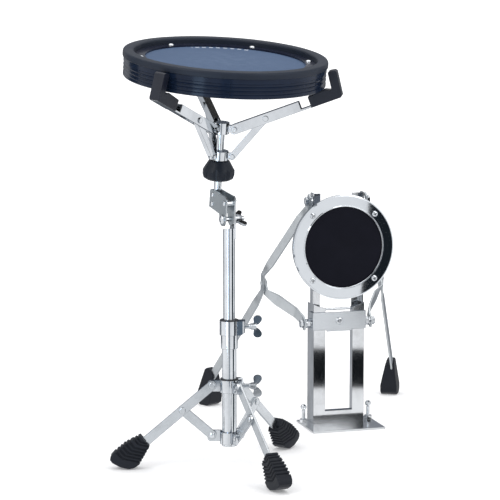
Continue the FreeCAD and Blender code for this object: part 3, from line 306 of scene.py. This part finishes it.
def playing_material():
    """Slate-blue coated fabric with a fine pebble, a paler play area and plain dashes."""
    s = Shader("playing_surface", (0.118, 0.155, 0.300), rough=0.62, Specular_IOR_Level=0.20)
    x, y, _ = s.split(s.coord)
    radius = s.radius(x, y)
    cloud = s.noise(scale=22.0, detail=4.0, rough=0.6)
    color = s.mix(s.fade(cloud, span=(0.3, 0.75), to=(0.0, 0.5)),
                  (0.058, 0.098, 0.178), (0.074, 0.118, 0.206))
    wear = s.fade(radius, span=(0.018, 0.085), to=(0.75, 0.0))
    patches = s.fade(s.noise(scale=90.0, detail=5.0, rough=0.7), span=(0.4, 0.7))
    color = s.mix(s.calc("MULTIPLY", wear, patches), color, (0.088, 0.134, 0.222))
    ink = s.calc("MULTIPLY", print_mask(s, x, y, radius), 0.85)
    s.set(Base_Color=s.mix(ink, color, (0.62, 0.66, 0.74)))
    pebble = s.node("ShaderNodeTexVoronoi", {"Vector": s.coord, "Scale": 1300.0}, feature="F1")
    s.bump(pebble.outputs["Distance"], strength=0.22, distance=0.00018)
    s.bump(s.noise(scale=2600.0, detail=2.0, rough=0.6), strength=0.10, distance=0.00006)
    return s.done()


def kick_face_material():
    """Black rubber with a fine woven relief, smoother at the middle."""
    s = Shader("kick_rubber", (0.007, 0.007, 0.012), rough=0.62, Specular_IOR_Level=0.11)
    cloud = s.noise(scale=30.0, detail=5.0, rough=0.65)
    x, y, _ = s.split(s.coord)
    middle = s.fade(s.radius(x, y), span=(0.0, 0.03), to=(-0.10, 0.0))
    s.set(Base_Color=s.mix(s.fade(cloud, span=(0.3, 0.8)),
                           (0.0030, 0.0034, 0.0080), (0.0048, 0.0052, 0.0110)),
          Roughness=s.calc("ADD", middle, s.scaled(cloud, by=0.16, plus=0.56)))
    threads = [s.node("ShaderNodeTexWave",
                      {"Scale": 520.0, "Distortion": 0.6, "Vector": s.coord},
                      wave_type="BANDS", bands_direction=axis).outputs["Fac"]
               for axis in "XY"]
    s.bump(s.calc("MULTIPLY", *threads), strength=0.20, distance=0.00012)
    s.bump(s.noise(scale=1500.0, rough=0.7), strength=0.10, distance=0.0001)
    return s.done()


def board_material():
    """Dark wood, its grain drawn out along the pad's X."""
    s = Shader("board_wood", (0.020, 0.018, 0.017), rough=0.7)
    grain = s.noise(scale=0.05, detail=6.0, rough=0.7, stretch=(1.0, 14.0, 1.0),
                    vector=s.local(PAD), distort=1.2)
    s.set(Base_Color=s.mix(s.fade(grain, span=(0.3, 0.7)),
                           (0.016, 0.015, 0.015), (0.030, 0.026, 0.023)))
    s.bump(grain, strength=0.3, distance=0.0003)
    return s.done()


MATERIALS = {
    "bright_chrome": metal("chrome_bright", (0.74, 0.765, 0.79), rough=0.07, wave=0.02),
    "leg_chrome": metal("chrome_bar", (0.70, 0.725, 0.745), rough=0.20, spread=0.08, wave=0.05),
    "satin_bar": metal("satin_bar", (0.56, 0.585, 0.60), rough=0.42, spread=0.10,
                       brushed=(1.0, 1.0, 0.10), edge=0.0007),
    "brushed_crossbar": metal("satin_crossbar", (0.75, 0.78, 0.81), rough=0.24, spread=0.08,
                              brushed=(0.12, 0.12, 1.0), tint=0.02),
    "satin_bracket": metal("satin_bracket", (0.62, 0.65, 0.67), rough=0.30, spread=0.10,
                           wave=0.04, rim=0.9),
    "kick_frame": metal("chrome_pressing", (0.80, 0.815, 0.83), rough=0.09, wave=0.10),
    "kick_plate": metal("chrome_plate", (0.80, 0.815, 0.83), rough=0.12, spread=0.06,
                        wave=0.10, rim=1.0),
    "wing_chrome": metal("chrome_wing", (0.62, 0.65, 0.68), rough=0.10, wave=0.35, tint=0.30),
    "kick_ring": metal("chrome_ring", (0.725, 0.755, 0.785), rough=0.05, spread=0.03,
                       wave=0.03, tint=0.015),
    "boot_rubber": rubber("boot_rubber", (0.0058, 0.0078, 0.0130), rough=0.55, grain=0.30,
                          worn=0.7, spec=0.26),
    "grip_rubber": rubber("grip_rubber", (0.0048, 0.0070, 0.0150), rough=0.42, grain=0.20,
                          worn=0.7, spec=0.35),
    "rim_rubber": rubber("rim_rubber", (0.0065, 0.0115, 0.0230), rough=0.46, grain=0.18,
                         spec=0.26),
    "knob_plastic": rubber("knob_plastic", (0.0045, 0.0080, 0.0150), rough=0.38, grain=0.15,
                           worn=0.5, spec=0.26),
    "black_nylon": rubber("black_nylon", (0.012, 0.013, 0.016), rough=0.45, grain=0.10,
                          worn=0.2),
    "foam_rubber": rubber("foam_rubber", (0.05, 0.05, 0.055), rough=0.9, grain=0.9,
                          cell=700.0),
    "shell_gloss": shell_material(),
    "ring_black": hoop_material(),
    "playing_rubber": playing_material(),
    "kick_rubber": kick_face_material(),
    "board_wood": board_material(),
}

SLOTS = {part["node"]: part["material_slot"] for part in frame["record"]["subparts"]}
# CAD nodes whose look differs from that of their slot
OWN_LOOKS = {
    "height_wing_bolt": "wing_chrome", "leg_wing_bolt": "wing_chrome",
    "tilter_wing_nut": "wing_chrome", "kick_frame": "kick_frame",
    "kick_base_plate": "kick_plate", "kick_ring": "kick_ring",
}


def paint(obj, material):
    if not obj.material_slots:
        obj.data.materials.append(None)
    for slot in obj.material_slots:
        slot.link = "OBJECT"
        slot.material = material


for node_name, node_obj in NODES.items():
    paint(node_obj, MATERIALS[OWN_LOOKS.get(node_name, SLOTS[node_name])])

# ------------------------------------------------------------ mesh helpers


def new_object(name, verts, faces, matrix=None, smooth=True):
    mesh = bpy.data.meshes.new(name)
    mesh.from_pydata([tuple(v) for v in verts], [], faces)
    mesh.validate()
    bm = bmesh.new()
    bm.from_mesh(mesh)
    bmesh.ops.recalc_face_normals(bm, faces=bm.faces)
    bm.to_mesh(mesh)
    bm.free()
    if smooth:
        mesh.polygons.foreach_set("use_smooth", [True] * len(mesh.polygons))
    obj = bpy.data.objects.new(name, mesh)
    bpy.context.scene.collection.objects.link(obj)
    if matrix is not None:
        obj.matrix_world = matrix
    return obj


def turned(name, profile, matrix, segments, shape=None):
    """A closed (r, z) outline in mm turned about Z; shape(r, z, angle) may move points."""
    verts, faces = [], []
    axis, rings = {}, {}          # vertex numbers by outline point, and by (segment, point)
    for k, (r, z) in enumerate(profile):
        if r <= 1e-6:
            axis[k] = len(verts)
            verts.append((0, 0, z / 1000))
    for i in range(segments):
        angle = 2 * math.pi * i / segments
        for k, (r, z) in enumerate(profile):
            if k in axis:
                continue
            if shape:
                r, z = shape(r, z, angle)
            rings[i, k] = len(verts)
            verts.append((r * math.cos(angle) / 1000, r * math.sin(angle) / 1000, z / 1000))

    def vertex(i, k):
        return axis[k] if k in axis else rings[i % segments, k]

    for i in range(segments):
        for k in range(len(profile)):
            after = (k + 1) % len(profile)
            corners = (vertex(i, k), vertex(i + 1, k), vertex(i + 1, after), vertex(i, after))
            face = list(dict.fromkeys(corners))
            if len(face) >= 3:
                faces.append(face)
    return new_object(name, verts, faces, matrix)


def rounded(corners, steps):
    """An outline of (r, z, corner radius) rows with each corner rounded."""
    outline = []
    points = [Vector(row[:2]) for row in corners]
    for i, point in enumerate(points):
        radius = corners[i][2]
        if radius <= 0:
            outline.append(tuple(point))
            continue
        back = points[i - 1] - point
        ahead = points[(i + 1) % len(points)] - point
        radius = min(radius, back.length * 0.49, ahead.length * 0.49)
        start = point + back.normalized() * radius
        end = point + ahead.normalized() * radius
        for k in range(steps + 1):
            t = k / steps
            outline.append(tuple(start * (1 - t) ** 2 + point * 2 * t * (1 - t) + end * t * t))
    return outline


def remesh_copy(name, node, voxel, smooth):
    """A closed, evenly meshed copy of a CAD node with its edges softened."""
    source = NODES[node].data.copy()
    source.name = name
    obj = bpy.data.objects.new(name, source)
    bpy.context.scene.collection.objects.link(obj)
    weld = obj.modifiers.new("weld", "WELD")
    weld.merge_threshold = 1e-6
    remesh = obj.modifiers.new("remesh", "REMESH")
    remesh.mode = "VOXEL"
    remesh.voxel_size = voxel
    soften = obj.modifiers.new("smooth", "SMOOTH")
    soften.factor = 0.5
    soften.iterations = smooth
    depsgraph = bpy.context.evaluated_depsgraph_get()
    mesh = bpy.data.meshes.new_from_object(obj.evaluated_get(depsgraph))
    obj.modifiers.clear()
    obj.data = mesh
    mesh.name = name
    mesh.materials.clear()
    mesh.polygons.foreach_set("use_smooth", [True] * len(mesh.polygons))
    for extra in [a.name for a in mesh.attributes if a.name.startswith(("custom", "UV"))]:
        mesh.attributes.remove(mesh.attributes[extra])
    return obj


def vertex_array(mesh, key):
    values = np.empty(len(mesh.vertices) * 3)
    mesh.vertices.foreach_get(key, values)
    return values.reshape(-1, 3)


def finish_piece(obj, slot, body, node):
    paint(obj, MATERIALS[slot])
    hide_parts(node)
    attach(obj, body)


# ------------------------------------------------------------ tripod boots
# Each boot is shaped in its leg's frame, in mm: +X runs outwards and the bar slopes down.
BAR_START = np.array([23.0, 0.0, 111.5])
BAR_SIDE = 3.55                                   # middle of the bar's thickness, in Y
BAR_WAY = np.array([0.75839, 0.0, -0.65181])      # down along the bar
BAR_NORMAL = np.array([-BAR_WAY[2], 0.0, BAR_WAY[0]])
# (distance down the bar, how much fuller each side is): waisted above, fuller below
BOOT_FULLNESS = [(113, -1.9), (118, -1.5), (132, -0.4), (150, 0.7), (160, 0.4), (167, -0.8)]
CUFF_GROOVES = [119.6, 124.0]
BODY_GROOVES = [131.0 + 5.4 * k for k in range(5)]
GROOVE_DEPTH = 2.1


def groove(position, centres, half, soft):
    """1 inside grooves at the given centres, 0 outside, with soft walls."""
    depth = np.zeros_like(position)
    for centre in centres:
        away = np.abs(position - centre)
        depth = np.maximum(depth, np.clip((half + soft - away) / soft, 0, 1))
    return depth * depth * (3 - 2 * depth)


def shape_boot(mesh, leg):
    """Waist the boot and cut its grooves."""
    coords, normals = vertex_array(mesh, "co"), vertex_array(mesh, "normal")
    to_world, to_leg = np.array(leg), np.array(leg.inverted())
    local = (coords @ to_leg[:3, :3].T + to_leg[:3, 3]) * 1000
    local_normals = normals @ to_leg[:3, :3].T
    from_start = local - BAR_START
    along, above = from_start @ BAR_WAY, from_start @ BAR_NORMAL
    aside = local[:, 1] - BAR_SIDE

    # keep the leg's own slot tight to the bar
    in_slot = (np.abs(aside) < 3.2) & (np.abs(above) < 7.6) & (along < 143)
    slanted = along + 0.75 * np.clip(4.0 - above, 0, 22)
    cuts = (groove(slanted, CUFF_GROOVES, half=0.5, soft=0.7)
            + groove(slanted, BODY_GROOVES, half=0.8, soft=0.9))
    off_sole = np.clip((normals[:, 2] + 0.75) / 0.15, 0, 1)    # 0 where faces look down
    sink = np.where(in_slot, 0.0, -GROOVE_DEPTH * cuts * off_sole)
    local = local + local_normals * sink[:, None]

    fuller = np.interp(along, *zip(*BOOT_FULLNESS))
    flank = np.clip(np.abs(aside) / 10.0, 0, 1)
    local[:, 1] += np.where(in_slot, 0.0, np.sign(aside) * flank * fuller)
    coords = (local / 1000) @ to_world[:3, :3].T + to_world[:3, 3]
    mesh.vertices.foreach_set("co", coords.astype(np.float32).ravel())
    mesh.update()


for key, azimuth in LEG_AZIMUTHS.items():
    boot = remesh_copy("boot_" + key, "foot_" + key, voxel=0.00062, smooth=5)
    shape_boot(boot.data, STAND @ turn(azimuth))
    finish_piece(boot, "boot_rubber", "leg_" + key, "foot_" + key)

# ---------------------------------------------------- kick boots and grips
for side in "lr":
    boot = remesh_copy("kick_boot_" + side, "kick_foot_" + side, voxel=0.0007, smooth=6)
    finish_piece(boot, "boot_rubber", "kick_leg_" + side, "kick_foot_" + side)

for key in "abc":
    grip = remesh_copy("grip_pad_" + key, "grip_" + key, voxel=0.0005, smooth=6)
    finish_piece(grip, "grip_rubber", "arm_" + key, "grip_" + key)

# --------------------------------------------------------------- snare pad
# (r, z, corner radius) round the rim's section
RIM_CORNERS = [
    (118.5, 196.6, 0.3), (127.85, 196.6, 0.3), (127.85, 203.6, 0),
    (133.0, 203.6, 1.2), (133.0, 212.5, 5.2), (118.5, 212.5, 4.0),
]
RIM_SEAM = math.radians(-26.0)
SEAM_HALF_WIDTH = 0.9
SEAM_DEPTH_OUTSIDE, SEAM_DEPTH_TOP = 0.9, 0.7

# (r, z) sections, with z measured below the pad's own height by PAD_LIFT
PAD_LIFT = 9.5
SKIN = [
    (0, 191.1), (60, 191.1), (117.6, 191.1), (117.9, 191.5), (117.9, 192.6),
    (117.5, 192.95), (104.5, 193.0), (103.0, 193.0), (100, 193.06), (92, 193.2),
    (78, 193.34), (60, 193.45), (40, 193.55), (20, 193.6), (0, 193.62),
]
FOAM = [
    (0, 187.1), (60, 187.1), (116.5, 187.1), (117.3, 187.9), (117.45, 189.0),
    (117.3, 190.2), (116.6, 190.95), (60, 190.95), (0, 190.95),
]


def rim_shape(r, z, angle):
    """A slightly uneven top, and a notch where the band's ends meet."""
    away = abs((angle - RIM_SEAM + math.pi) % (2 * math.pi) - math.pi) * r
    cut = max(0.0, 1 - away / SEAM_HALF_WIDTH)
    if z > 204:
        z += (0.12 * math.sin(angle * 3 + 0.4) + 0.06 * math.sin(angle * 11)) * 0.6
    if z > 203.8 and r > 130:
        r -= SEAM_DEPTH_OUTSIDE * cut
    if z > 211:
        z -= SEAM_DEPTH_TOP * cut
    return r, z


def foam_shape(r, z, angle):
    """A rippled outer edge."""
    ripple = 0.15 * math.sin(23 * angle) if r > 110 else 0
    return r + ripple - 0.1, z


def lifted(profile):
    return [(r, z + PAD_LIFT) for r, z in profile]


rim = turned("rim_band", rounded(RIM_CORNERS, steps=7), PAD, 420, rim_shape)
rim.data.transform(PAD)               # points in the shared frame, so its box is the true one
rim.matrix_world = Matrix.Identity(4)
finish_piece(rim, "rim_rubber", "pad", "pad_rim")

skin = turned("playing_skin", lifted(SKIN), PAD, 200)
finish_piece(skin, "playing_rubber", "pad", "pad_playing_surface")

foam = turned("foam_layer", lifted(FOAM), PAD, 160, foam_shape)
finish_piece(foam, "foam_rubber", "pad", "pad_foam")

# ---------------------------------------------------------------- kick pad
# (r, z) section of the face, z towards its front
KICK_FACE = [
    (0, -7.9), (40, -7.9), (69.4, -7.9), (69.9, -7.4), (69.9, -3.6), (69.5, -3.1),
    (57.9, -3.1), (57.85, -1.9), (57.5, -1.2), (56.8, -0.85), (54, -0.75),
    (40, -0.6), (20, -0.5), (0, -0.48),
]
kick_skin = turned("kick_skin", KICK_FACE, DISC, 200)
finish_piece(kick_skin, "kick_rubber", "kick", "kick_face")

# ------------------------------------------------------------------ camera
scene = bpy.context.scene


def build_camera():
    data = bpy.data.cameras.new("camera")
    data.lens, data.sensor_width, data.clip_end = 144.0, 36.0, 300.0
    obj = bpy.data.objects.new("camera", data)
    scene.collection.objects.link(obj)
    obj.matrix_world = STAND @ Matrix.Translation((0.0273, -2.590, 0.646)) @ turn(82.2, "X")
    scene.camera = obj
    return obj


camera = build_camera()

# ------------------------------------------------------------------- floor
FLOOR_HALF = 120.0
FLOOR_DROP = 0.0004


def axis_ramp(tree, vector, axis, ends, greys, tint, gain=1.0):
    """Colours by one component of a direction, from -1 to 1.

    ends are the two end colours; greys are (position, level) stops, coloured by tint.
    """
    parts = add_node(tree, "ShaderNodeSeparateXYZ", {0: vector})
    span = add_node(tree, "ShaderNodeMapRange",
                    {0: parts.outputs[axis], "From Min": -1.0, "From Max": 1.0})
    tone = add_node(tree, "ShaderNodeValToRGB", {0: span.outputs[0]})
    stops = tone.color_ramp.elements
    for i, color in enumerate(ends):
        stops[i].position = float(i)
        stops[i].color = (*(c * gain for c in color), 1)
    for position, level in greys:
        stops.new(position).color = (*(level * gain * c for c in tint), 1)
    return tone.outputs[0]


def studio_tone(tree, vector, gain):
    """The tone that polished metal sees: pale in front, palest at the sides, dark behind."""
    unit = add_node(tree, "ShaderNodeVectorMath", {0: vector}, operation="NORMALIZE")
    return axis_ramp(
        tree, unit.outputs[0], axis=1, ends=((0.78, 0.80, 0.83), (0.16, 0.18, 0.22)),
        greys=((0.06, 0.95), (0.25, 1.05), (0.55, 1.1), (0.86, 0.95), (0.95, 0.45)),
        tint=(1.0, 1.01, 1.03), gain=gain)


def floor_material():
    """Pale floor, glowing more further out; glossy rays see the studio tone instead."""
    s = Shader("floor_pale", (0.93, 0.93, 0.935), rough=0.9, Specular_IOR_Level=0.1,
               Emission_Color=(1, 1, 1), Emission_Strength=0.20)
    cloud = s.fade(s.noise(scale=3.0, detail=4.0), span=(0.3, 0.7))
    s.set(Base_Color=s.mix(cloud, (0.94, 0.94, 0.945), (0.925, 0.925, 0.93)))
    point = s.node("ShaderNodeNewGeometry").outputs

    from_stand = s.node("ShaderNodeVectorMath",
                        {0: point["Position"], 1: tuple(STAND.translation)},
                        operation="SUBTRACT")
    distance = s.node("ShaderNodeVectorMath", {0: from_stand.outputs[0]}, operation="LENGTH")
    glow = s.node("ShaderNodeMapRange", {
        0: distance.outputs["Value"], "From Min": 0.45, "From Max": 1.6,
        "To Min": 0.16, "To Max": 0.55})
    s.set(Emission_Strength=glow.outputs[0])

    ray = s.node("ShaderNodeVectorMath", {0: point["Incoming"], 1: (-1.0, -1.0, -1.0)},
                 operation="MULTIPLY")
    shine = s.node("ShaderNodeEmission", {0: studio_tone(s.tree, ray.outputs[0], gain=0.98)})
    glossy = s.node("ShaderNodeLightPath").outputs["Is Glossy Ray"]
    both = s.node("ShaderNodeMixShader",
                  {0: glossy, 1: s.bsdf.outputs[0], 2: shine.outputs[0]})
    put(s.out.inputs["Surface"], both.outputs[0])
    return s.done()


pale = floor_material()
floor = new_object("floor", [(-FLOOR_HALF, -FLOOR_HALF, 0), (FLOOR_HALF, -FLOOR_HALF, 0),
                             (FLOOR_HALF, FLOOR_HALF, 0), (-FLOOR_HALF, FLOOR_HALF, 0)],
                   [(0, 1, 2, 3)], Matrix.Translation((0, 0, -FLOOR_DROP)))
floor.data.materials.append(pale)

# ------------------------------------------------------------ studio cards


def card(name, centre, along, up, width, height, value):
    """A plain glowing card, dark or bright by its value, that only glossy rays see."""
    material = bpy.data.materials.new(name)
    tree = empty_tree(material)
    out = add_node(tree, "ShaderNodeOutputMaterial")
    glow = add_node(tree, "ShaderNodeEmission", {0: (value * 0.75, value, value * 1.3)})
    put(out.inputs[0], glow.outputs[0])
    half_along = Vector(along).normalized() * width / 2
    half_up = Vector(up).normalized() * height / 2
    corners = [centre - half_along - half_up, centre + half_along - half_up,
               centre + half_along + half_up, centre - half_along + half_up]
    obj = new_object(name, corners, [(0, 1, 2, 3)], smooth=False)
    obj.data.materials.append(material)
    for ray in ("camera", "diffuse", "shadow", "transmission", "volume_scatter"):
        setattr(obj, "visible_" + ray, False)


# the way the camera's view is mirrored by flat faces of the kick frame
view = (KICK @ mm(0, 0, 200) - camera.matrix_world.translation).normalized()
face_normal = (KICK.to_3x3() @ Vector((0, -1, 0))).normalized()
mirrored = view - 2 * view.dot(face_normal) * face_normal
across = mirrored.cross(Vector((0, 0, 1))).normalized()
if across.dot(KICK.to_3x3() @ Vector((1, 0, 0))) < 0:
    across = -across

ring_point = KICK @ mm(38, DISC_CENTRE[1], DISC_CENTRE[2])
card("flag_ring", ring_point + mirrored * 0.5 + across * 0.10, along=across, up=(0.10, 0, 1),
     width=0.2, height=0.24, value=0.016)
low_point = KICK @ mm(0, 0, 77)
card("flag_low", low_point + mirrored * 0.26 - Vector((0, 0, 0.010)), along=across,
     up=(0, 0, 1), width=0.13, height=0.072, value=0.006)

# cards round the stand, for the lines on its tubes:
# name, azimuth from the front towards +X and width in degrees, distance, bottom, top, value
ROUND_CARDS = [
    ("flag_right", 70, 26, 0.22, 0.0, 0.32, 0.05),
    ("flag_front", 2, 12, 0.55, 0.0, 0.45, 0.16),
    ("flag_left", -118, 22, 0.9, 0.0, 1.2, 0.05),
    ("glow_front", -28, 12, 0.8, 0.02, 0.34, 5.0),
    ("flag_far_right", 128, 14, 0.9, 0.0, 1.2, 0.04),
]
for name, azimuth, spread, distance, bottom, top, value in ROUND_CARDS:
    angle = math.radians(azimuth)
    outward = Vector((math.sin(angle), -math.cos(angle), 0))
    centre = STAND @ (outward * distance)
    centre.z = (bottom + top) / 2
    card(name, centre, along=(outward.y, -outward.x, 0), up=(0, 0, 1),
         width=2 * distance * math.tan(math.radians(spread / 2)),
         height=top - bottom, value=value)

# -------------------------------------------------------- world and lights


def build_world():
    """White to the camera, the studio tone to glossy rays, a soft sky to all others."""
    world = bpy.data.worlds.new("studio")
    scene.world = world
    tree = empty_tree(world)
    direction = add_node(tree, "ShaderNodeTexCoord").outputs["Generated"]
    rays = add_node(tree, "ShaderNodeLightPath").outputs
    sky = axis_ramp(
        tree, direction, axis=2, ends=((0.85, 0.86, 0.88), (1.0, 1.0, 1.0)),
        greys=((0.50, 0.78), (0.56, 0.95), (0.70, 1.0), (0.80, 0.55), (0.86, 1.0)),
        tint=(1.0, 1.005, 1.02))
    soft = add_node(tree, "ShaderNodeBackground", {0: sky, 1: 0.92})
    shine = add_node(tree, "ShaderNodeBackground", {0: studio_tone(tree, direction, gain=1.0)})
    white = add_node(tree, "ShaderNodeBackground", {0: (1, 1, 1), 1: 1.05})
    unseen = add_node(tree, "ShaderNodeMixShader",
                      {0: rays["Is Glossy Ray"], 1: soft.outputs[0], 2: shine.outputs[0]})
    full = add_node(tree, "ShaderNodeMixShader",
                    {0: rays["Is Camera Ray"], 1: unseen.outputs[0], 2: white.outputs[0]})
    add_node(tree, "ShaderNodeOutputWorld", {0: full.outputs[0]})


def area_light(name, location, target, size, power):
    """A square light; places are in metres from the stand's foot."""
    data = bpy.data.lights.new(name, "AREA")
    data.energy, data.size, data.shape = power, size, "SQUARE"
    obj = bpy.data.objects.new(name, data)
    scene.collection.objects.link(obj)
    obj.location = STAND @ Vector(location)
    aim = (STAND @ Vector(target)) - obj.location
    obj.rotation_euler = aim.to_track_quat("-Z", "Y").to_euler()


build_world()
area_light("key", location=(-1.3, -1.6, 1.9), target=(0.05, 0.1, 0.25), size=1.1, power=14)
area_light("fill", location=(1.6, -1.2, 1.4), target=(0.1, 0.1, 0.25), size=1.2, power=8)
area_light("top", location=(0.1, 0.3, 2.2), target=(0.1, 0.1, 0.2), size=1.4, power=10)

scene.view_settings.view_transform = "Standard"
scene.view_settings.look = "None"
scene.view_settings.exposure = 0.0
scene.view_settings.gamma = 1.0
scene.cycles.max_bounces = 10
scene.cycles.glossy_bounces = 6
